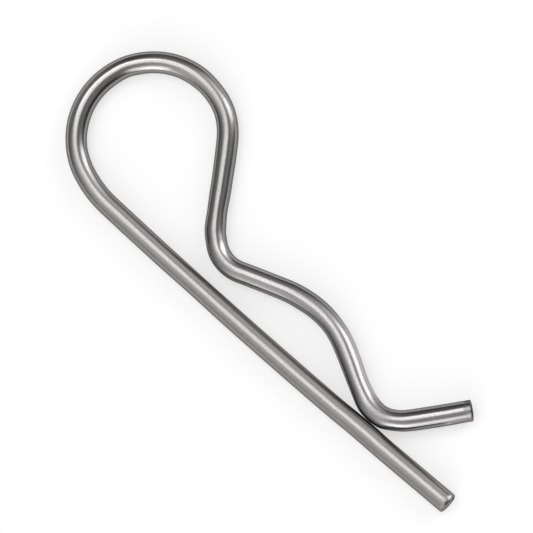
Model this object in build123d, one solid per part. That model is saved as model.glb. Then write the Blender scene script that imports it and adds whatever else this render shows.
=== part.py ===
from build123d import *
import math
import os

# Hairpin cotter (R-clip), bent cold from one length of round spring wire.
#
# The clip lies flat: the wire's axis is one plane curve at half the wire's height,
# the straight leg runs along +X and everything else stands on its +Y side.
# The origin is under the middle of the clip, on the surface it lies on.
#
# Sizes are in millimetres and angles in degrees. Radii named PIN are those of the
# round pins that the wire is bent over, so they are the inside radii of the bends.

WIRE_DIAMETER = 3.0

# Straight leg
LEAD_LENGTH = 12.3        # straight free end of the leg, which goes through the shaft's hole
HEEL_TO_LEAD = 3.5        # from where the heel meets the leg to where the lead begins
LEG_BOW_TURN = 2.8        # the long part of the leg keeps a little of the wire's curl
RUN_OUT_PIN = 15.0        # wider bend by which the loop runs out into the leg
RUN_OUT_TURN = 20.0

# Loop
LOOP_INSIDE_DIAMETER = 17.8
LOOP_TO_THROAT = 19.6     # along the leg
ENTRY_PIN = 7.5           # tighter curl by which the neck rolls into the loop
ENTRY_END_AZIMUTH = 62.0  # where that curl meets the loop, seen from the loop's centre

# Shaped leg: throat, hump and heel, with the slopes of the straights between them
THROAT_PIN = 4.25
THROAT_GAP = 2.55         # between the throat and the line of the lead's upper side
BACK_SLOPE = 18.5
HUMP_PIN = 13.0
SEAT_RISE = 7.25          # underside of the hump above the lead's axis: the shaft's radius, sprung
SHANK_SLOPE = 27.7
HEEL_PIN = 3.8
HEEL_GAP = 0.1            # the heel rests on the leg; a hair's gap keeps the two surfaces apart
FLARE_SLOPE = 49.0
TIP_LENGTH = 9.0          # straight run of the flared tip

# Cropped ends
RIM_CHAMFER = 0.15
TIP_END_SLANT = 1.0       # both ends are cropped out of square, the upper side the shorter
LEG_END_SLANT = 4.0
PIT_DIAMETER = 0.9        # dimple torn into the leg's end
PIT_DEPTH = 0.35
PIT_RISE = 0.6            # its middle above the middle of the cut

WIRE_RADIUS = WIRE_DIAMETER / 2


def spoke(azimuth, length=1.0):
    """Vector of the given length at an azimuth from +X in the clip's plane."""
    angle = math.radians(azimuth)
    return Vector(math.cos(angle), math.sin(angle)) * length


class Bend:
    """A round bend of the wire's axis: its centre, its radius and the way it turns."""

    def __init__(self, centre, pin_radius, turn):
        self.centre = centre
        self.radius = pin_radius + WIRE_RADIUS
        self.turn = turn

    def point(self, heading):
        """Where on the bend the wire runs at this heading."""
        return self.centre + spoke(heading - 90 * self.turn, self.radius)

    def arc(self, heading_in, heading_out):
        """The wire's axis round the bend, from one heading to the other."""
        turned = (heading_out - heading_in) * self.turn % 360 * self.turn
        return JernArc(self.point(heading_in), spoke(heading_in), self.radius, turned)


LEFT = 1
RIGHT = -1


def nested(outer, pin_radius, azimuth):
    """A bend inside another, touching it at an azimuth, so that one runs into the other."""
    offset = outer.radius - pin_radius - WIRE_RADIUS
    return Bend(outer.centre + spoke(azimuth, offset), pin_radius, outer.turn)


def across(first, heading, pin_radius, turn, height):
    """The bend met by a straight that leaves the first at a heading, its centre at a height."""
    slope = math.radians(heading)
    side = turn * (pin_radius + WIRE_RADIUS) - first.turn * first.radius
    run = ((height - first.centre.Y) * math.cos(slope) - side) / math.sin(slope)
    return Bend(Vector(first.centre.X + run, height), pin_radius, turn)


def tangent_heading(first, second):
    """Heading of the straight run that leaves one bend and meets the next without a kink."""
    between = second.centre - first.centre
    bearing = math.degrees(math.atan2(between.Y, between.X))
    side = second.turn * second.radius - first.turn * first.radius
    return bearing - math.degrees(math.asin(side / between.length))


TIP_HEADING = 180 + FLARE_SLOPE
SHANK_HEADING = 180 - SHANK_SLOPE
BACK_HEADING = 180 + BACK_SLOPE
LOOP_HEADING = 90 + ENTRY_END_AZIMUTH
RUN_OUT_HEADING = -LEG_BOW_TURN - RUN_OUT_TURN


def make_shaped_leg():
    """The heel, the hump and the throat, each placed by its height over the lead's axis."""
    heel_height = WIRE_DIAMETER + HEEL_GAP + WIRE_RADIUS + HEEL_PIN
    hump_height = SEAT_RISE - HUMP_PIN
    throat_height = WIRE_DIAMETER + THROAT_GAP + WIRE_RADIUS + THROAT_PIN
    heel = Bend(Vector(-HEEL_TO_LEAD, heel_height), HEEL_PIN, RIGHT)
    hump = across(heel, SHANK_HEADING, HUMP_PIN, LEFT, hump_height)
    throat = across(hump, BACK_HEADING, THROAT_PIN, RIGHT, throat_height)
    return heel, hump, throat


def make_loop(reach):
    """The loop, its centre this far behind the lead, and the bends on either side of it.

    The bow is an arc tangent to the lead at x = 0. The run-out and the loop lie inside it,
    one in the other, and the bow's radius is the one that gives the loop its reach.
    """
    loop_pin = LOOP_INSIDE_DIAMETER / 2
    run_out_reach = reach + (RUN_OUT_PIN - loop_pin) * math.sin(math.radians(RUN_OUT_HEADING))
    bow_pin = RUN_OUT_PIN + run_out_reach / math.sin(math.radians(LEG_BOW_TURN))
    bow = Bend(Vector(0, bow_pin + WIRE_RADIUS), bow_pin, LEFT)
    run_out = nested(bow, RUN_OUT_PIN, -LEG_BOW_TURN - 90)
    loop = nested(run_out, loop_pin, RUN_OUT_HEADING - 90)
    entry = nested(loop, ENTRY_PIN, ENTRY_END_AZIMUTH)
    return entry, loop, run_out, bow


def make_axis():
    """The wire's axis, from the flared tip round to the free end of the leg."""
    heel, hump, throat = make_shaped_leg()
    entry, loop, run_out, bow = make_loop(LOOP_TO_THROAT - throat.centre.X)
    neck_heading = tangent_heading(throat, entry)
    heel_start = heel.point(TIP_HEADING)
    pieces = [
        Line(heel_start - spoke(TIP_HEADING, TIP_LENGTH), heel_start),
        heel.arc(TIP_HEADING, SHANK_HEADING),
        Line(heel.point(SHANK_HEADING), hump.point(SHANK_HEADING)),
        hump.arc(SHANK_HEADING, BACK_HEADING),
        Line(hump.point(BACK_HEADING), throat.point(BACK_HEADING)),
        throat.arc(BACK_HEADING, neck_heading),
        Line(throat.point(neck_heading), entry.point(neck_heading)),
        entry.arc(neck_heading, LOOP_HEADING),
        loop.arc(LOOP_HEADING, RUN_OUT_HEADING),
        run_out.arc(RUN_OUT_HEADING, -LEG_BOW_TURN),
        bow.arc(-LEG_BOW_TURN, 0),
        Line((0, 0), (LEAD_LENGTH, 0)),
    ]
    return Wire(Curve() + pieces)


def crop(clip, end, heading, slant):
    """Crop the wire out of square at an end of its axis, and break the rim of the cut.

    The cut leans back over the wire and meets its underside right below the axis's end.
    Returns the clip and a plane in the middle of the cut face, its X pointing up the face.
    """
    lean = math.radians(slant)
    outward = spoke(heading, math.cos(lean)) + Vector(0, 0, math.sin(lean))
    upward = spoke(heading, -math.sin(lean)) + Vector(0, 0, math.cos(lean))
    cut = Plane(origin=end - Vector(0, 0, WIRE_RADIUS), z_dir=outward)
    width = 3 * WIRE_DIAMETER
    waste = Box(width, width, WIRE_DIAMETER, align=(Align.CENTER, Align.CENTER, Align.MIN))
    clip = clip - cut * waste
    face = clip.faces().filter_by(GeomType.PLANE).sort_by_distance(cut.origin)[0]
    middle = Plane(origin=face.center(), x_dir=upward, z_dir=outward)
    return chamfer(face.edges(), RIM_CHAMFER), middle


def make_clip():
    """The whole clip, lying on z = 0 with the origin under its middle."""
    axis = make_axis()
    section = Plane(origin=axis @ 0, z_dir=axis % 0) * Circle(WIRE_RADIUS)
    clip = sweep(section, path=axis)
    clip = crop(clip, axis @ 0, TIP_HEADING + 180, TIP_END_SLANT)[0]
    clip, leg_end = crop(clip, axis @ 1, 0, LEG_END_SLANT)
    dimple = Cone(0, PIT_DIAMETER / 2, PIT_DEPTH, align=(Align.CENTER, Align.CENTER, Align.MAX))
    clip = clip - leg_end * Pos(PIT_RISE, 0, 0) * dimple
    box = clip.bounding_box()
    return clip.moved(Location((-box.center().X, -box.center().Y, -box.min.Z)))


os.makedirs("parts", exist_ok=True)
export_step(make_clip(), "parts/hairpin.step")
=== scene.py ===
"""A hairpin cotter of drawn stainless wire, lying on a pale table under four soft lamps."""
import cmath
import math

import bpy
import numpy as np
from mathutils import Matrix, Vector


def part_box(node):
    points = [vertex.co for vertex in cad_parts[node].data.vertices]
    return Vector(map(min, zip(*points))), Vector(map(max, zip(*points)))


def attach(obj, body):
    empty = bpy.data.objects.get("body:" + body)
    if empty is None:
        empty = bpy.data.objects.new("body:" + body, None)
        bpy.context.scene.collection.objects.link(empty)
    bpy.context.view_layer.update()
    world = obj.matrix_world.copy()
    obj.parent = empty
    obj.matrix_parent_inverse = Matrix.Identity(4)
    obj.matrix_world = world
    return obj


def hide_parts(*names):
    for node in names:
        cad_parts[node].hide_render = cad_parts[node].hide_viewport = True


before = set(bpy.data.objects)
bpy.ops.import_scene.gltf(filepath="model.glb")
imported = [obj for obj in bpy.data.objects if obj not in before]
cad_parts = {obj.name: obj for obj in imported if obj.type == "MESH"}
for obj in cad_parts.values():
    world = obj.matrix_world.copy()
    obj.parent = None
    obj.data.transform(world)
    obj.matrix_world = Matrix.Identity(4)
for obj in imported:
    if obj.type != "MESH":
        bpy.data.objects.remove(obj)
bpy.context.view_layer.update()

LOW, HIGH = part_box("hairpin")
MM = 0.001

# Sizes of the clip, in millimetres and degrees. A PIN is the inside radius of a bend.
WIRE_RADIUS = (HIGH.z - LOW.z) / 2 / MM
LEAD_LENGTH = 12.3
HEEL_TO_LEAD = 3.5
LEG_BOW_TURN = 2.8
RUN_OUT_PIN = 15.0
RUN_OUT_TURN = 20.0
LOOP_PIN = 8.9
LOOP_TO_THROAT = 19.6
ENTRY_PIN = 7.5
ENTRY_END_AZIMUTH = 62.0
THROAT_PIN = 4.25
THROAT_GAP = 2.55
BACK_SLOPE = 18.5
HUMP_PIN = 13.0
SEAT_RISE = 7.25
SHANK_SLOPE = 27.7
HEEL_PIN = 3.8
HEEL_GAP = 0.1
FLARE_SLOPE = 49.0
TIP_LENGTH = 9.0
EASING = 1.0              # a bend starts and ends over this length of wire, not at once

# Cropped ends
TIP_END_SLANT = 1.0
LEG_END_SLANT = 4.0
LEAN_LENGTH = 5.0         # the rows take up an end's slant over this length
PIT_RADIUS = 0.45         # the dimple in the leg's end
PIT_DEPTH = 0.35
PIT_RISE = 0.6
TIP_RIM, TIP_ROLL = 0.07, 0.17    # radius of a rim where it is sharp, and how much more
LEG_RIM, LEG_ROLL = 0.08, 0.14    # where it is rolled over
WAVE_HEIGHT = 0.012       # of the low waves on the leg's face
BURR_HEIGHT = 0.05
NICK = 0.78               # from the tip's end to the cutter's nick
NICK_DEPTH = 0.06
DENT_DEPTH = 0.02

# Where bending over pins left its mark: the distance along the wire, the length of the mark,
# how far the wire is set over to its right, and how far each side of it is flattened
BENDING_MARKS = [
    (0.6, 1.6, 0.06, 0.02), (10.6, 1.9, 0.12, 0.05), (12.1, 0.9, -0.06, -0.05),
    (14.8, 1.5, 0.03, -0.06), (18.4, 2.2, -0.09, 0.07), (27.0, 1.5, 0.02, 0.04),
    (32.4, 2.4, -0.08, -0.05), (43.5, 2.0, -0.06, 0.01), (47.8, 1.4, 0.13, 0.04),
    (51.8, 1.8, -0.03, 0.11), (56.0, 2.6, 0.05, 0.05), (59.5, 2.4, 0.07, 0.00),
    (66.0, 2.6, 0.05, 0.05), (69.2, 1.9, -0.02, 0.05), (82.3, 1.4, 0.06, 0.03),
    (95.5, 2.0, 0.01, 0.04), (121.8, 4.0, -0.03, 0.03), (150.6, 2.2, -0.06, 0.00),
    (153.4, 1.8, -0.06, -0.02),
]

# How the wire's surface is divided
ROUND_STEPS = 80
AXIS_STEP = 0.02
STATION_STEP = 0.18
END_STRETCH = 1.6         # near its ends the side has closer rows, over this length
TIP_SIDE_START, TIP_SIDE_STEP = 0.28, 0.03
LEG_SIDE_START, LEG_SIDE_STEP = 0.35, 0.07
TIP_FLAT_ROWS, LEG_FLAT_ROWS = 11, 33     # rows on the flat of a face
RIM_STEPS = 8                             # and on its rounded rim

# The flat map, in millimetres before it is scaled down
STRIPS = 4                # bands that the side is unrolled into
MAP_GAP = 0.3             # clear space beside a band
MAP_MARGIN = 2.4          # how much wider the map is than a band is long
TIP_DISC, LEG_DISC = 2.5, 7.5     # the faces' middles, along the top band
DISC_RISE = 2.3                   # and over it

# Finish. A tone is how bright a place is: the steel's colour is multiplied by it.
STEEL = (0.334, 0.33, 0.33)
TIP_CAST = (1.045, 1.0, 1.02)     # the wire's colour drifts a little from end to end
LEG_CAST = (1.01, 1.0, 0.98)
CAST_START, CAST_END = 8.0, 110.0
EDGE_TINT = 0.33          # how much of its grazing reflection the drawn steel keeps
TORN_EDGE_TINT = 0.35     # and the torn steel
SATIN = (0.14, 0.2)       # least and most roughness of the drawn steel
TORN = (0.38, 0.5)        # and of the torn steel
DULLING = 0.2             # roughness added where the wire is dull
THROAT_MATTE, LEG_MATTE, END_MATTE = 0.6, 0.3, 0.8     # how dull they are, 1 in the heel
TIP_HATCH = 0.7           # how strong the lines across are there, 1 in the throat
PLAIN_TONE = 0.98
BRIGHT_STRETCH, DARK_STRETCH = 0.13, -0.08     # before the throat, and on the neck
FLANK_SHADE = 0.3      # painted shade: how much darker the wire is painted to its left and right
# painted highlight: how much brighter the glint on the throat is painted
THROAT_GLINT_TONE = 0.9
SCUFF_TONE = 0.8
STAIN_TONE = -0.45
# painted highlight: how much brighter the shank's right side is painted
SHANK_HIGHLIGHT_TONE = 0.9
# painted shade: how much darker the wire is painted where the heel and the leg touch
CONTACT_SHADE = 0.85
TIP_FACE_MIDDLE_TONE = 0.26      # how bright the tip's face is across its middle
TIP_FACE_SIDE_TONE = 0.32       # and how much brighter it is beside
DIMPLE_SHADE, UNDER_SHADE = 0.85, 0.8     # painted shade: how much darker the leg's face is painted there
GLINT_TONE = 3.4
GLINT_PLACE = (0.66, 1.12)        # across and up on the leg's end
GLINT_SIZE = 0.28
HATCH_PITCH = 0.3         # of the fine lines across the wire
HATCH_HEIGHT = 14.0
HATCH_TONE = 0.17
HATCH_LEAN = 0.45         # how far the lines lean along the wire for each step across it
NOISE_LOW, NOISE_HIGH = 0.3, 0.7     # nearly all of a noise lies between these

# The camera's view, at the height of the wire's axis
VIEW_WIDTH = 72.28 * MM
TARGET = Vector((-2.394, -2.537, 1.5)) * MM
LEAD_BEARING = -40.414    # the lead's direction in the view, before the camera leans
CAMERA_LEAN = (0.11, -0.16)
CAMERA_DISTANCE = 2.5
SENSOR_WIDTH = 36.0

# Studio. A bearing is an angle round the camera's axis and an angle off it, in degrees.
LAMP_DISTANCE = 0.8
LAMPS = [                 # name, bearing, half spread one way and the other, twist, brightness
    ("high_lamp", 127, 39, 15, 8, -43, 2.2), ("top_lamp", 142, 17, 19.5, 6, -24, 1.27),
    ("right_lamp", 38, 65, 25, 10, 63, 1.37), ("near_lamp", -101, 72.5, 12, 35, 28, 1.26),
]
GLOWS = [                 # bearing, width, brightness
    (-107, 87, 25, 2.7), (-16, 34, 24, 0.4), (62, 49, 13, 1.1), (40, 65, 20, 1.9),
    (-151, 42, 37, 0.93), (116, 28, 20, 1.6), (140, 92, 24, 0.5), (-91, 53, 14, 2.25),
    (90, 73, 14, 0.3), (168, 35, 12, 0.6),
]
PAPER = 0.5               # how much light the table gives back
PAPER_LIFT = 0.56         # and how much is added where it is looked at, so that it shows white
TABLE_REACH = 4.0


# ---------------------------------------------------------------- the wire's axis

def spoke(azimuth, length=1.0):
    """Step of this length at an azimuth in degrees, as a complex number of the clip's plane."""
    return length * cmath.exp(1j * math.radians(azimuth))


class Bend:
    """A round bend of the axis: its centre, its radius and which way it turns, 1 for left."""

    def __init__(self, centre, pin_radius, turn):
        self.centre = centre
        self.radius = pin_radius + WIRE_RADIUS
        self.turn = turn

    def point(self, heading):
        """Where on the bend the wire runs at this heading."""
        return self.centre + spoke(heading - 90 * self.turn, self.radius)


def next_bend(first, heading, pin_radius, turn, height):
    """The bend met by a straight that leaves the first at a heading, its centre at a height.

    Both centres stand off the straight by their bends' radii, each on the side that its bend
    turns to, which gives the run from one centre to the other.
    """
    side = turn * (pin_radius + WIRE_RADIUS) - first.turn * first.radius
    rise = height - first.centre.imag
    slope = math.radians(heading)
    run = (rise * math.cos(slope) - side) / math.sin(slope)
    return Bend(first.centre + complex(run, rise), pin_radius, turn)


def nested(outer, pin_radius, azimuth):
    """A bend inside another that touches it at an azimuth.

    The centres are as far apart, along that azimuth, as the radii differ.
    """
    offset = spoke(azimuth, outer.radius - pin_radius - WIRE_RADIUS)
    return Bend(outer.centre + offset, pin_radius, outer.turn)


def wire_bends():
    """Every bend from the flared tip to the leg, with the heading that the wire leaves it at."""
    diameter = 2 * WIRE_RADIUS
    heel_height = diameter + HEEL_GAP + WIRE_RADIUS + HEEL_PIN
    throat_height = diameter + THROAT_GAP + WIRE_RADIUS + THROAT_PIN
    heel = Bend(complex(-HEEL_TO_LEAD, heel_height), HEEL_PIN, -1)
    hump = next_bend(heel, 180 - SHANK_SLOPE, HUMP_PIN, 1, SEAT_RISE - HUMP_PIN)
    throat = next_bend(hump, 180 + BACK_SLOPE, THROAT_PIN, -1, throat_height)
    leg_turn = LEG_BOW_TURN + RUN_OUT_TURN
    reach = LOOP_TO_THROAT - throat.centre.real
    run_out_reach = reach - (RUN_OUT_PIN - LOOP_PIN) * math.sin(math.radians(leg_turn))
    bow_pin = RUN_OUT_PIN + run_out_reach / math.sin(math.radians(LEG_BOW_TURN))
    bow = Bend(complex(0, bow_pin + WIRE_RADIUS), bow_pin, 1)
    run_out = nested(bow, RUN_OUT_PIN, -LEG_BOW_TURN - 90)
    loop = nested(run_out, LOOP_PIN, -leg_turn - 90)
    entry = nested(loop, ENTRY_PIN, ENTRY_END_AZIMUTH)
    between = entry.centre - throat.centre
    lean = math.asin((entry.radius + throat.radius) / abs(between))
    neck_heading = math.degrees(cmath.phase(between) - lean)
    return [
        (heel, 180 - SHANK_SLOPE), (hump, 180 + BACK_SLOPE), (throat, neck_heading),
        (entry, 90 + ENTRY_END_AZIMUTH), (loop, -leg_turn), (run_out, -LEG_BOW_TURN), (bow, 0),
    ]


def wire_axis():
    """Arc length, place and heading of the axis at close stations, from the tip's end.

    The heading is a sum of ramps, one for each bend: it grows by the bend's turn over the
    bend's length. It is then averaged over EASING, so that no bend begins all at once.
    The place is the running sum of unit steps at that heading. The sum is moved so that the
    lead's end is LEAD_LENGTH along +X, and then so that the clip fills the CAD's box.
    """
    bends = wire_bends()
    heading = 180 + FLARE_SLOPE
    start, ramps = TIP_LENGTH, []
    for (bend, leaves), following in zip(bends, bends[1:] + [(None, 0)]):
        turned = (leaves - heading) * bend.turn % 360 * bend.turn
        length = bend.radius * math.radians(abs(turned))
        ramps.append((start, length, turned))
        start += length
        heading = leaves
        if following[0]:
            start += abs(following[0].point(leaves) - bend.point(leaves))
    total = start + LEAD_LENGTH
    along = np.linspace(0, total, int(total / AXIS_STEP))
    headings = np.full_like(along, 180 + FLARE_SLOPE)
    shifts = np.linspace(-EASING / 2, EASING / 2, 9)
    for shift in shifts:
        for start, length, turned in ramps:
            headings += turned / len(shifts) * np.clip((along + shift - start) / length, 0, 1)
    steps = np.exp(1j * np.radians(headings))
    place = np.r_[0, np.cumsum((steps[1:] + steps[:-1]) / 2 * np.diff(along))]
    place += LEAD_LENGTH - place[-1]
    corner = complex(place.real.min() - WIRE_RADIUS, -WIRE_RADIUS)
    place += complex(LOW.x, LOW.y) / MM - corner
    return along, place, np.radians(headings)


# ---------------------------------------------------------------- the wire's surface

def hill(distance, width):
    """A smooth bump of height 1: exp of minus the square of distance over width."""
    return np.exp(-(distance / width) ** 2)


def step(value, start, end):
    """0 before start, 1 after end, and half a cosine wave between them."""
    share = np.clip((value - start) / (end - start), 0, 1)
    return (1 - np.cos(math.pi * share)) / 2


def stretch(along, start, full, fade, end):
    """A length of the wire: a step up from start to full, and one down from fade to end."""
    return step(along, start, full) * (1 - step(along, fade, end))


def facing(angle, middle, width):
    """A side of the wire: a hill of the gap between its angle and a middle one, in degrees.

    Angles go round the wire from its left, over the top.
    """
    return hill((np.degrees(angle) - middle + 180) % 360 - 180, width)


def rounded_end(flat_rows, edge):
    """Radius and depth of rows from an end's middle out to the wire's side, round the wire.

    The face is flat out to the wire's radius less edge. Its rim is a quarter circle of radius
    edge, which changes round the wire.
    """
    share = np.linspace(0, 1, flat_rows + 1)[1:, None]
    turn = np.linspace(0, math.pi / 2, RIM_STEPS + 1)[1:, None]
    rim_radius = WIRE_RADIUS - edge * (1 - np.sin(turn))
    radius = np.concatenate([share * (WIRE_RADIUS - edge), rim_radius])
    depth = np.concatenate([0 * share * edge, edge * (1 - np.cos(turn))])
    return radius, depth


def tip_edge(angle):
    """Rim radius of the tip's face: sharp, plus a roll times a wide hill low on its left."""
    return TIP_RIM + TIP_ROLL * facing(angle, -25, 60)


def leg_edge(angle):
    """Rim radius of the leg's face: sharp, plus a roll times a narrower hill high on its left."""
    return LEG_RIM + LEG_ROLL * facing(angle, 58, 24)


def dimple_reach(across, up):
    """Distance from the dimple's middle over its radius, which wavers round it by two cosines."""
    turn = np.arctan2(up - PIT_RISE, across)
    ragged = 1 + 0.1 * np.cos(3 * turn + 0.7) + 0.07 * np.cos(5 * turn + 2.0)
    return np.hypot(across, up - PIT_RISE) / (PIT_RADIUS * ragged)


def leg_face_sink(across, up):
    """How deep the leg's face is torn: a ragged dimple, a few low waves and a small burr.

    The dimple's depth goes as 1 less its reach, to a power that makes its edge steep. The
    waves are 1 plus a cosine, and grow outwards from the dimple's edge. The burr stands out
    of the face as a hill of the distance from its middle.
    """
    reach = dimple_reach(across, up)
    dimple = PIT_DEPTH * np.clip(1 - reach, 0, 1) ** 0.7
    waves = WAVE_HEIGHT * (1 + np.cos(5.0 * up + 1.5 * across)) * np.clip(reach - 1, 0, 1)
    burr = BURR_HEIGHT * hill(np.hypot(across - 0.7, up - 1.0), 0.16)
    return dimple + waves - burr


def set_across(across, along):
    """Place across the wire after bending.

    Each mark is a hill along the wire, times how far the wire is set over plus its
    flattening, which grows evenly from the axis out to the side.
    """
    for middle, length, set_over, flattened in BENDING_MARKS:
        pressed = set_over + flattened * across / WIRE_RADIUS
        across = across - hill(along - middle, length) * pressed
    return across


def side_sink(along, angle):
    """How far the wire's side is pressed in: a cutter's nick near the tip, and a dent after it.

    Each is a hill along the wire times a hill round it.
    """
    nick = hill(along - NICK, 0.09) * facing(angle, 150, 48)
    dent = hill(along - 3.3, 0.4) * facing(angle, 27, 7)
    return NICK_DEPTH * nick + DENT_DEPTH * dent


def matte_share(along, angle, total):
    """Where the wire is dull: 1 in the heel, less in the throat, on the leg and by its end."""
    heel_end = 14.9 + 1.8 * np.cos(angle)
    heel = stretch(along, 10.3, 12.4, heel_end - 1.6, heel_end + 1.0)
    throat = stretch(along, 40.2, 43.0, 45.0, 48.0) * facing(angle, 35, 50)
    leg = step(along, 95.0, 125.0)
    end = hill(total - along, 0.55)
    return heel + THROAT_MATTE * throat + LEG_MATTE * leg + END_MATTE * end


def side_tone(along, angle):
    """Brightness of the side: a slow drift and the marks on it.

    The marks are a painted highlight, an oval where a glint falls on the throat, a scuff and a
    stain near the tip, a painted highlight on the shank's right side, and painted shade where
    the heel and the leg touch. The drift is a plain level with a brighter stretch before the
    throat and a darker one on the neck, after it. Painted shade darkens it to the left and
    right, as the fourth power of the cosine.
    """
    before, after = hill(along - 38.5, 3.5), hill(along - 55.5, 6.0)
    drift = PLAIN_TONE + BRIGHT_STRETCH * before + DARK_STRETCH * after
    # painted shade: the wire's left and right sides are painted darker
    drift = drift * (1 - FLANK_SHADE * np.cos(angle) ** 4)
    # painted highlight: an oval glint on the throat is painted brighter
    throat_glint = hill(along - 45.9, 1.0) * facing(angle, 114, 13)
    scuff = hill(along - 3.3, 0.35) * facing(angle, 28, 5)
    stain = (1 - step(along, NICK - 0.1, NICK + 0.2)) * facing(angle, 142, 24)
    # painted highlight: the shank's right side is painted brighter
    shank_highlight = stretch(along, 13.5, 16.5, 24.0, 29.5) * facing(angle, 164, 24)
    # painted shade: the wire is painted darker where the heel and the leg touch
    contact_shade = (hill(along - 13.4, 1.3) + hill(along - 150.8, 1.6)) * facing(angle, 0, 28)
    marks_and_glint = THROAT_GLINT_TONE * throat_glint + SCUFF_TONE * scuff + STAIN_TONE * stain
    return (drift + marks_and_glint + SHANK_HIGHLIGHT_TONE * shank_highlight) * (1 - CONTACT_SHADE * contact_shade)


def hatch_share(along, angle):
    """Where fine lines cross the wire: where the throat's pin bent it, and less at the tip."""
    throat = stretch(along, 41.5, 43.5, 46.5, 48.5) * facing(angle, 40, 45)
    return throat + TIP_HATCH * (1 - step(along, NICK - 0.1, NICK + 0.3))


def tip_face_tone(across):
    """Brightness of the tip's face: dark across its middle, and less beside."""
    return TIP_FACE_MIDDLE_TONE + TIP_FACE_SIDE_TONE * step(abs(across + 0.05), 0.7, 1.2)


def leg_face_tone(across, up):
    """Brightness of the leg's face: painted shade in the dimple and under one side of the rim."""
    dimple = 1 - step(dimple_reach(across, up), 0.85, 1.2)
    under = facing(np.arctan2(up, across), -42, 32) * step(np.hypot(across, up), 0.95, 1.2)
    return 1 - DIMPLE_SHADE * dimple - UNDER_SHADE * under


def close_rows(first, pitch):
    """Distances from an end of the side's closer rows, up to where the plain rows begin."""
    return np.arange(first, END_STRETCH - pitch / 2, pitch)


def skin_rows(angle, total):
    """Radius of the skin and distance along the wire, for each row and each angle round.

    From one end to the other the rows are the face of the tip, widening from its middle, then
    the wire's side, then the face of the leg, narrowing to its middle.
    """
    tip_radius, tip_depth = rounded_end(TIP_FLAT_ROWS, tip_edge(angle))
    leg_radius, leg_depth = (part[::-1] for part in rounded_end(LEG_FLAT_ROWS, leg_edge(angle)))
    leg_depth = leg_depth + leg_face_sink(leg_radius * np.cos(angle), leg_radius * np.sin(angle))
    plain_rows = int((total - 2 * END_STRETCH) / STATION_STEP)
    side = np.r_[
        close_rows(TIP_SIDE_START, TIP_SIDE_STEP),
        np.linspace(END_STRETCH, total - END_STRETCH, plain_rows),
        total - close_rows(LEG_SIDE_START, LEG_SIDE_STEP)[::-1]]
    side = side[:, None] + 0 * angle
    radius = np.concatenate([tip_radius, WIRE_RADIUS - side_sink(side, angle), leg_radius])
    return radius, np.concatenate([tip_depth, side, total - leg_depth])


def skin_tone(straightened, angle, total):
    """Brightness of the side and of the two faces, plus a glint on the leg's rim.

    The glint is a hill of the distance from its middle.
    """
    across, up, along = np.moveaxis(straightened, -1, 0)
    tone = side_tone(along, angle)
    tip_rows = TIP_FLAT_ROWS + RIM_STEPS // 2
    leg_rows = LEG_FLAT_ROWS + RIM_STEPS
    tone[:tip_rows] = tip_face_tone(across[:tip_rows])
    tone[-leg_rows:] = leg_face_tone(across[-leg_rows:], up[-leg_rows:])
    off_glint = np.linalg.norm(straightened - (*GLINT_PLACE, total), axis=-1)
    return tone + GLINT_TONE * hill(off_glint, GLINT_SIZE)


def wire_surface():
    """The wire's skin on a grid of rows along it and ROUND_STEPS round it.

    A row is a ring about the axis, and a point stands off the axis by its radius at its angle
    round. Towards each end the rows lean back into the plane of the slanted face, by the
    height over the underside times the tangent of the slant. Beside its place, each point is
    given its place on the straightened wire, across, up and along, and its finish, which is
    how dull, how hatched and how bright it is.
    """
    axis_along, axis_place, axis_heading = wire_axis()
    total = axis_along[-1]
    angle = np.linspace(0, 2 * math.pi, ROUND_STEPS, endpoint=False)
    radius, along = skin_rows(angle, total)
    across, height = radius * np.cos(angle), radius * np.sin(angle)
    tip_share = np.clip(1 - along / LEAN_LENGTH, 0, 1)
    leg_share = np.clip(1 - (total - along) / LEAN_LENGTH, 0, 1)
    tip_lean = math.tan(math.radians(TIP_END_SLANT)) * tip_share
    leg_lean = math.tan(math.radians(LEG_END_SLANT)) * leg_share
    leant = along + (tip_lean - leg_lean) * (height + WIRE_RADIUS)
    heading = np.interp(leant, axis_along, axis_heading)
    leftward = 1j * np.exp(1j * heading)
    place = np.interp(leant, axis_along, axis_place) + set_across(across, along) * leftward
    points = np.stack([place.real, place.imag, height + WIRE_RADIUS + LOW.z / MM], -1)
    straightened = np.stack([across, height, along], -1)
    tone = skin_tone(straightened, angle, total)
    finish = np.stack([matte_share(along, angle, total), hatch_share(along, angle), tone], -1)
    return points * MM, straightened, finish


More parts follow.
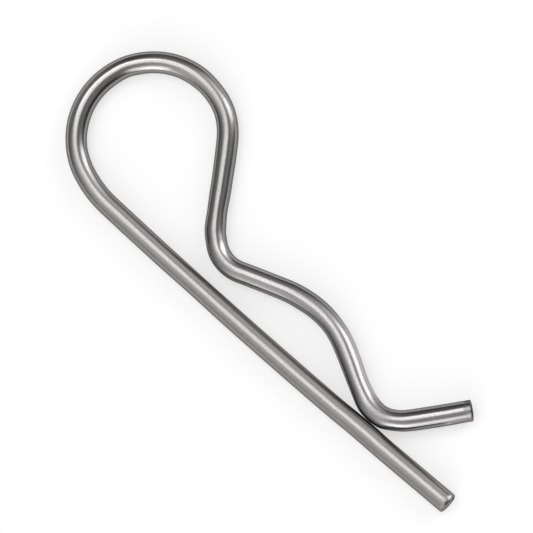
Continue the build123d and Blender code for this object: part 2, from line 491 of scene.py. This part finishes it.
def flat_map(straightened):
    """Place of every corner on the flat map, from 0 to 1: the quads row by row, then the fans.

    The side is unrolled into STRIPS bands, one over the other: across the map by the distance
    along the wire and down it by the angle round. Each face is a disc over the bands, its
    radius the length of the skin from the face's middle, and the tip's is turned over so that
    no part of the map is mirrored.
    """
    rows = len(straightened)
    total = straightened[:, :, 2].max()
    band = 2 * math.pi * WIRE_RADIUS + MAP_GAP
    corner_row = np.arange(rows - 1)[:, None, None] + np.array([0, 0, 1, 1])
    corner_column = np.arange(ROUND_STEPS)[:, None] + np.array([0, 1, 1, 0])
    along = straightened[:, :, 2].mean(1)
    strip = np.clip(along[:-1] * STRIPS / total, 0, STRIPS - 1).astype(int)[:, None, None]
    rightward = along[corner_row] - strip * total / STRIPS + MAP_GAP + 0 * corner_column
    upward = strip * band + (1 - corner_column / ROUND_STEPS) * (band - MAP_GAP) + MAP_GAP
    flat = rightward + 1j * upward
    off_axis = np.hypot(straightened[:, :, 0], straightened[:, :, 1])
    skin = np.hypot(np.diff(off_axis, axis=0), np.diff(straightened[:, :, 2], axis=0))
    none = np.zeros((1, ROUND_STEPS))
    tip_skin = off_axis[0] + np.r_[none, np.cumsum(skin, 0)]
    leg_skin = off_axis[-1] + np.r_[np.cumsum(skin[::-1], 0)[::-1], none]
    tip_middle = complex(TIP_DISC, STRIPS * band + DISC_RISE)
    leg_middle = complex(LEG_DISC, STRIPS * band + DISC_RISE)
    round_column = corner_column % ROUND_STEPS
    turn = np.exp(2j * math.pi * corner_column / ROUND_STEPS)
    for part, skins, middle, turned in (
            (slice(0, TIP_FLAT_ROWS + RIM_STEPS - 1), tip_skin, tip_middle, turn.conj()),
            (slice(rows - LEG_FLAT_ROWS - RIM_STEPS, rows - 1), leg_skin, leg_middle, turn)):
        flat[part] = middle + skins[corner_row[part], round_column] * turned
    tip_ring = tip_middle + tip_skin[0, round_column] * turn.conj()
    leg_ring = leg_middle + leg_skin[-1, round_column] * turn
    tip_fan = [tip_ring[:, 1], tip_ring[:, 0], np.full(ROUND_STEPS, tip_middle)]
    leg_fan = [leg_ring[:, 0], leg_ring[:, 1], np.full(ROUND_STEPS, leg_middle)]
    fans = np.stack([tip_fan, leg_fan]).transpose(0, 2, 1)
    corners = np.concatenate([flat.ravel(), fans.ravel()])
    corners = corners / (total / STRIPS + MAP_MARGIN)
    return np.stack([corners.real, corners.imag], -1)


def grid_faces(rows):
    """Corners of the quads between rows of ROUND_STEPS points, then of the fans at the ends.

    The fans meet at two more points, numbered after the grid's: the tip's middle and the
    leg's.
    """
    column = np.arange(ROUND_STEPS)
    after = (column + 1) % ROUND_STEPS
    first = np.arange(rows - 1)[:, None] * ROUND_STEPS
    second = first + ROUND_STEPS
    quads = np.stack([first + column, first + after, second + after, second + column], -1)
    last = (rows - 1) * ROUND_STEPS
    tip_middle = np.full_like(column, rows * ROUND_STEPS)
    tip_fan = np.stack([after, column, tip_middle], -1)
    leg_fan = np.stack([last + column, last + after, tip_middle + 1], -1)
    return quads.reshape(-1, 4).tolist() + tip_fan.tolist() + leg_fan.tolist()


def with_middles(grid):
    """A grid's values in one list, followed by the mean of its first row and of its last."""
    return np.concatenate([grid.reshape(-1, 3), [grid[0].mean(0), grid[-1].mean(0)]])


def make_wire():
    """The whole clip as one closed mesh: the grid of its skin and a fan at each end's middle."""
    points, straightened, finish = wire_surface()
    rows = len(points)
    mesh = bpy.data.meshes.new("hairpin_wire")
    mesh.from_pydata(with_middles(points).tolist(), [], grid_faces(rows))
    for name, grid in (("straightened", straightened), ("finish", finish)):
        attribute = mesh.attributes.new(name, "FLOAT_VECTOR", "POINT")
        attribute.data.foreach_set("vector", with_middles(grid).astype(np.float32).ravel())
    unrolled = mesh.uv_layers.new(name="OFBake", do_init=False)
    unrolled.uv.foreach_set("vector", flat_map(straightened).astype(np.float32).ravel())
    row_of = np.r_[np.repeat(np.arange(rows - 1), ROUND_STEPS), np.full(2 * ROUND_STEPS, -1)]
    cropped = (row_of < TIP_FLAT_ROWS) | (row_of >= rows - LEG_FLAT_ROWS)
    mesh.polygons.foreach_set("material_index", cropped.astype(np.int32))
    mesh.polygons.foreach_set("use_smooth", np.ones(len(row_of), bool))
    mesh.update()
    mesh.validate()
    wire = bpy.data.objects.new("hairpin_wire", mesh)
    bpy.context.scene.collection.objects.link(wire)
    return wire


# ---------------------------------------------------------------- finishes

def add(tree, kind, inputs=(), **settings):
    """A node of this kind. An input is given a value, or is linked if it is given a socket."""
    node = tree.nodes.new("ShaderNode" + kind)
    for key, value in settings.items():
        setattr(node, key, value)
    for key, value in dict(inputs).items():
        if isinstance(value, bpy.types.NodeSocket):
            tree.links.new(value, node.inputs[key])
        else:
            node.inputs[key].default_value = value
    return node


def math_node(tree, operation, *inputs):
    """Output of a Math node over these values or sockets."""
    return add(tree, "Math", dict(enumerate(inputs)), operation=operation).outputs[0]


def spread(tree, noise, least, most):
    """A noise's usual range, widened or narrowed to run from least to most."""
    return add(tree, "MapRange", {
        "Value": noise, "From Min": NOISE_LOW, "From Max": NOISE_HIGH,
        "To Min": least, "To Max": most}).outputs[0]


def new_group(name, takes, gives):
    """An empty node group with these inputs, given as (name, type, default), and outputs."""
    group = bpy.data.node_groups.new(name, "ShaderNodeTree")
    for label, kind, default in takes:
        made = group.interface.new_socket(label, in_out="INPUT", socket_type=kind)
        if default is not None:
            made.default_value = default
    for label, kind in gives:
        group.interface.new_socket(label, in_out="OUTPUT", socket_type=kind)
    given = group.nodes.new("NodeGroupInput").outputs
    return group, given, group.nodes.new("NodeGroupOutput").inputs


def drawn_grain_group():
    """Fine lines along the wire, left by the drawing die.

    Noise on the straightened place, squeezed along the wire, so that a grain is a long line.
    Broad drifts slowly and Fine changes line by line. Both run from 0 to 1.
    """
    group, given, out = new_group(
        "drawn grain",
        [("Place", "NodeSocketVector", None), ("Lines", "NodeSocketFloat", 9.0),
         ("Length", "NodeSocketFloat", 0.12)],
        [("Broad", "NodeSocketFloat"), ("Fine", "NodeSocketFloat")])
    squeeze = add(group, "CombineXYZ", {
        "X": given["Lines"], "Y": given["Lines"], "Z": given["Length"]}).outputs[0]
    stretched = add(group, "VectorMath", {0: given["Place"], 1: squeeze},
                    operation="MULTIPLY").outputs[0]
    broad = add(group, "TexNoise", {"Vector": stretched, "Scale": 0.35, "Detail": 3.0})
    fine = add(group, "TexNoise", {
        "Vector": stretched, "Scale": 1.6, "Detail": 5.0, "Roughness": 0.65})
    group.links.new(broad.outputs["Fac"], out["Broad"])
    group.links.new(fine.outputs["Fac"], out["Fine"])
    return group


def steel_relief_group(grain):
    """Relief and tone of bare steel: grain along it, pitting where it is dull, lines across it.

    Height is in thousandths of a millimetre: grain and pitting are noise, and the lines
    across are a sine of the distance along the wire. Tone is the finish's brightness, with its
    painted shade and highlights, times drifts of a few hundredths with the broad grain and the
    pitting, and times the lines across. Gloss is the broad grain and Dull is how dull the finish
    is, both from 0 to 1.
    """
    group, given, out = new_group(
        "steel relief",
        [("Place", "NodeSocketVector", None), ("Finish", "NodeSocketVector", None),
         ("Lines", "NodeSocketFloat", 9.0), ("Length", "NodeSocketFloat", 0.12),
         ("Grain Height", "NodeSocketFloat", 4.0), ("Pit Height", "NodeSocketFloat", 14.0),
         ("Pit Scale", "NodeSocketFloat", 3.5), ("Plain Pits", "NodeSocketFloat", 0.3)],
        [("Height", "NodeSocketFloat"), ("Tone", "NodeSocketFloat"),
         ("Gloss", "NodeSocketFloat"), ("Dull", "NodeSocketFloat")])
    lines = add(group, "Group", {
        "Place": given["Place"], "Lines": given["Lines"], "Length": given["Length"]},
        node_tree=grain).outputs
    finish = add(group, "SeparateXYZ", {0: given["Finish"]}).outputs
    dull, hatched, bright = finish["X"], finish["Y"], finish["Z"]
    pits = add(group, "TexNoise", {
        "Vector": given["Place"], "Scale": given["Pit Scale"], "Detail": 3.0,
        "Roughness": 0.6}).outputs["Fac"]
    pitted = math_node(group, "MULTIPLY", math_node(group, "MAXIMUM", dull, given["Plain Pits"]),
                       math_node(group, "MULTIPLY", pits, given["Pit Height"]))
    place = add(group, "SeparateXYZ", {0: given["Place"]}).outputs
    leaning = math_node(group, "MULTIPLY_ADD", place["X"], HATCH_LEAN, place["Z"])
    waves = math_node(group, "SINE",
                      math_node(group, "MULTIPLY", leaning, 2 * math.pi / HATCH_PITCH))
    crossing = math_node(group, "MULTIPLY", waves, hatched)
    height = math_node(group, "MULTIPLY_ADD", lines["Fine"], given["Grain Height"], pitted)
    height = math_node(group, "MULTIPLY_ADD", crossing, HATCH_HEIGHT, height)
    drift = spread(group, lines["Broad"], 0.93, 1.07)
    speck = spread(group, pits, 0.92, 1.08)
    tone = math_node(group, "MULTIPLY", bright, math_node(group, "MULTIPLY", drift, speck))
    tone = math_node(group, "MULTIPLY", tone,
                     math_node(group, "MULTIPLY_ADD", crossing, HATCH_TONE, 1.0))
    gives = {"Height": height, "Tone": tone, "Gloss": lines["Broad"], "Dull": dull}
    for label, socket in gives.items():
        group.links.new(socket, out[label])
    return group


def steel(name, edge_tint, relief, values):
    """A bare steel material, its tree, its shader's inputs, and what its relief gives.

    The base colour is STEEL times the cast of that stretch of wire times the tone.
    """
    material = bpy.data.materials.new(name)
    material.use_nodes = True
    tree = material.node_tree
    shader = tree.nodes["Principled BSDF"].inputs
    shader["Metallic"].default_value = 1.0
    shader["Specular Tint"].default_value = (edge_tint, edge_tint, edge_tint, 1)
    place = add(tree, "Attribute", attribute_name="straightened").outputs["Vector"]
    finish = add(tree, "Attribute", attribute_name="finish").outputs["Vector"]
    surface = add(tree, "Group", {"Place": place, "Finish": finish, **values},
                  node_tree=relief).outputs
    along = add(tree, "SeparateXYZ", {0: place}).outputs["Z"]
    drift = add(tree, "MapRange", {
        "Value": along, "From Min": CAST_START, "From Max": CAST_END}).outputs[0]
    cast = add(tree, "Mix", {0: drift, 6: (*TIP_CAST, 1), 7: (*LEG_CAST, 1)},
               data_type="RGBA").outputs[2]
    plain = add(tree, "VectorMath", {0: cast, 1: STEEL}, operation="MULTIPLY").outputs[0]
    colour = add(tree, "VectorMath", {0: plain, 1: surface["Tone"]},
                 operation="MULTIPLY").outputs[0]
    tree.links.new(colour, shader["Base Color"])
    bump = add(tree, "Bump", {
        "Height": surface["Height"], "Distance": 0.001 * MM, "Strength": 1.0}).outputs[0]
    tree.links.new(bump, shader["Normal"])
    return material, tree, shader, surface


def wire_finish(relief):
    """Drawn stainless: satin with a lengthwise grain, and dull where it was bent hardest."""
    material, tree, shader, surface = steel("drawn_stainless", EDGE_TINT, relief, {})
    satin = spread(tree, surface["Gloss"], *SATIN)
    rough = math_node(tree, "MULTIPLY_ADD", surface["Dull"], DULLING, satin)
    tree.links.new(rough, shader["Roughness"])
    return material


def cropped_finish(relief):
    """The sheared faces at the wire's ends: dull and torn all over."""
    material, tree, shader, surface = steel(
        "cropped_stainless", TORN_EDGE_TINT, relief,
        {"Lines": 2.5, "Length": 2.5, "Grain Height": 30.0, "Plain Pits": 1.0, "Pit Scale": 2.0})
    tree.links.new(spread(tree, surface["Gloss"], *TORN), shader["Roughness"])
    return material


# ---------------------------------------------------------------- the studio

def camera_turn():
    """Rotation of the camera: turned over the clip, then leant the least way to its bearing."""
    level = Matrix.Rotation(-math.radians(LEAD_BEARING), 3, "Z")
    lean_x, lean_y = CAMERA_LEAN
    toward = level @ Vector((lean_x, lean_y, math.sqrt(1 - lean_x ** 2 - lean_y ** 2)))
    return Vector((0, 0, 1)).rotation_difference(toward).to_matrix() @ level


CAMERA_TURN = camera_turn()


def place_camera():
    """The camera, far enough away that the clip is seen almost without perspective."""
    data = bpy.data.cameras.new("camera")
    data.sensor_width = SENSOR_WIDTH
    data.lens = data.sensor_width * CAMERA_DISTANCE / VIEW_WIDTH
    data.clip_start, data.clip_end = 0.1, 20.0
    camera = bpy.data.objects.new("camera", data)
    away = CAMERA_TURN @ Vector((0, 0, CAMERA_DISTANCE))
    camera.matrix_world = Matrix.Translation(TARGET + away) @ CAMERA_TURN.to_4x4()
    bpy.context.scene.collection.objects.link(camera)
    bpy.context.scene.camera = camera


def bearing(round_deg, off_deg):
    """Unit direction by its angle round the camera's axis and its angle off it."""
    a, b = math.radians(round_deg), math.radians(off_deg)
    level = Vector((math.sin(b) * math.cos(a), math.sin(b) * math.sin(a), math.cos(b)))
    return CAMERA_TURN @ level


def place_lamp(name, round_deg, off_deg, spread_a, spread_b, twist, brightness):
    """An elliptical soft lamp that faces the clip. Spreads are half angles as seen from it.

    Its power is its brightness times pi times its area.
    """
    direction = bearing(round_deg, off_deg)
    axis = CAMERA_TURN @ Vector((0, 0, 1))
    across_it = axis.cross(direction).normalized()
    up_it = direction.cross(across_it)
    turn = math.radians(twist)
    first = across_it * math.cos(turn) + up_it * math.sin(turn)
    second = direction.cross(first)
    data = bpy.data.lights.new(name, "AREA")
    data.shape = "ELLIPSE"
    data.size = 2 * LAMP_DISTANCE * math.tan(math.radians(spread_a))
    data.size_y = 2 * LAMP_DISTANCE * math.tan(math.radians(spread_b))
    data.energy = brightness * math.pi * math.pi * data.size * data.size_y / 4
    lamp = bpy.data.objects.new(name, data)
    turned = Matrix((first, second, direction)).transposed()
    lamp.matrix_world = Matrix.Translation(TARGET + direction * LAMP_DISTANCE) @ turned.to_4x4()
    lamp.visible_camera = False
    bpy.context.scene.collection.objects.link(lamp)


def light_world(glows):
    """Dark room with soft glows.

    A glow is its brightness times exp of a quotient: the cosine of the angle from its middle,
    less 1, over 1 less the cosine of its width.
    """
    world = bpy.data.worlds.new("studio")
    world.use_nodes = True
    tree = world.node_tree
    direction = add(tree, "TexCoord").outputs["Generated"]
    total = 0.0
    for round_deg, off_deg, width, brightness in glows:
        near = add(tree, "VectorMath", {0: direction, 1: bearing(round_deg, off_deg)},
                   operation="DOT_PRODUCT").outputs["Value"]
        sharp = 1 / (1 - math.cos(math.radians(width)))
        fall = math_node(tree, "EXPONENT", math_node(tree, "MULTIPLY_ADD", near, sharp, -sharp))
        total = math_node(tree, "MULTIPLY_ADD", fall, brightness, total)
    background = tree.nodes["Background"].inputs
    background["Color"].default_value = (1, 1, 1, 1)
    tree.links.new(total, background["Strength"])
    bpy.context.scene.world = world


def paper():
    """The table's paper: matt and half grey, with a light of its own that lifts it to white.

    That light is seen, straight or in a reflection, but it lights nothing matt.
    """
    material = bpy.data.materials.new("white_paper")
    material.use_nodes = True
    tree = material.node_tree
    shader = tree.nodes["Principled BSDF"].inputs
    shader["Base Color"].default_value = (PAPER, PAPER, PAPER, 1)
    shader["Roughness"].default_value = 1.0
    shader["Specular IOR Level"].default_value = 0.0
    shader["Emission Color"].default_value = (1, 1, 1, 1)
    ray = add(tree, "LightPath").outputs
    seen = math_node(tree, "MAXIMUM", ray["Is Camera Ray"], ray["Is Glossy Ray"])
    seen = math_node(tree, "MAXIMUM", seen, ray["Is Transmission Ray"])
    tree.links.new(math_node(tree, "MULTIPLY", seen, PAPER_LIFT), shader["Emission Strength"])
    return material


def lay_table():
    """A wide pale table, its top at the clip's underside."""
    mesh = bpy.data.meshes.new("table")
    sides = (-1, -1), (1, -1), (1, 1), (-1, 1)
    corners = [(x * TABLE_REACH, y * TABLE_REACH, LOW.z) for x, y in sides]
    mesh.from_pydata(corners, [], [(0, 1, 2, 3)])
    mesh.materials.append(paper())
    table = bpy.data.objects.new("table", mesh)
    bpy.context.scene.collection.objects.link(table)


place_camera()
for lamp in LAMPS:
    place_lamp(*lamp)
light_world(GLOWS)
lay_table()

wire = make_wire()
relief = steel_relief_group(drawn_grain_group())
wire.data.materials.append(wire_finish(relief))
wire.data.materials.append(cropped_finish(relief))
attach(wire, "root")
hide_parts("hairpin")

bpy.context.scene.view_settings.view_transform = "Standard"
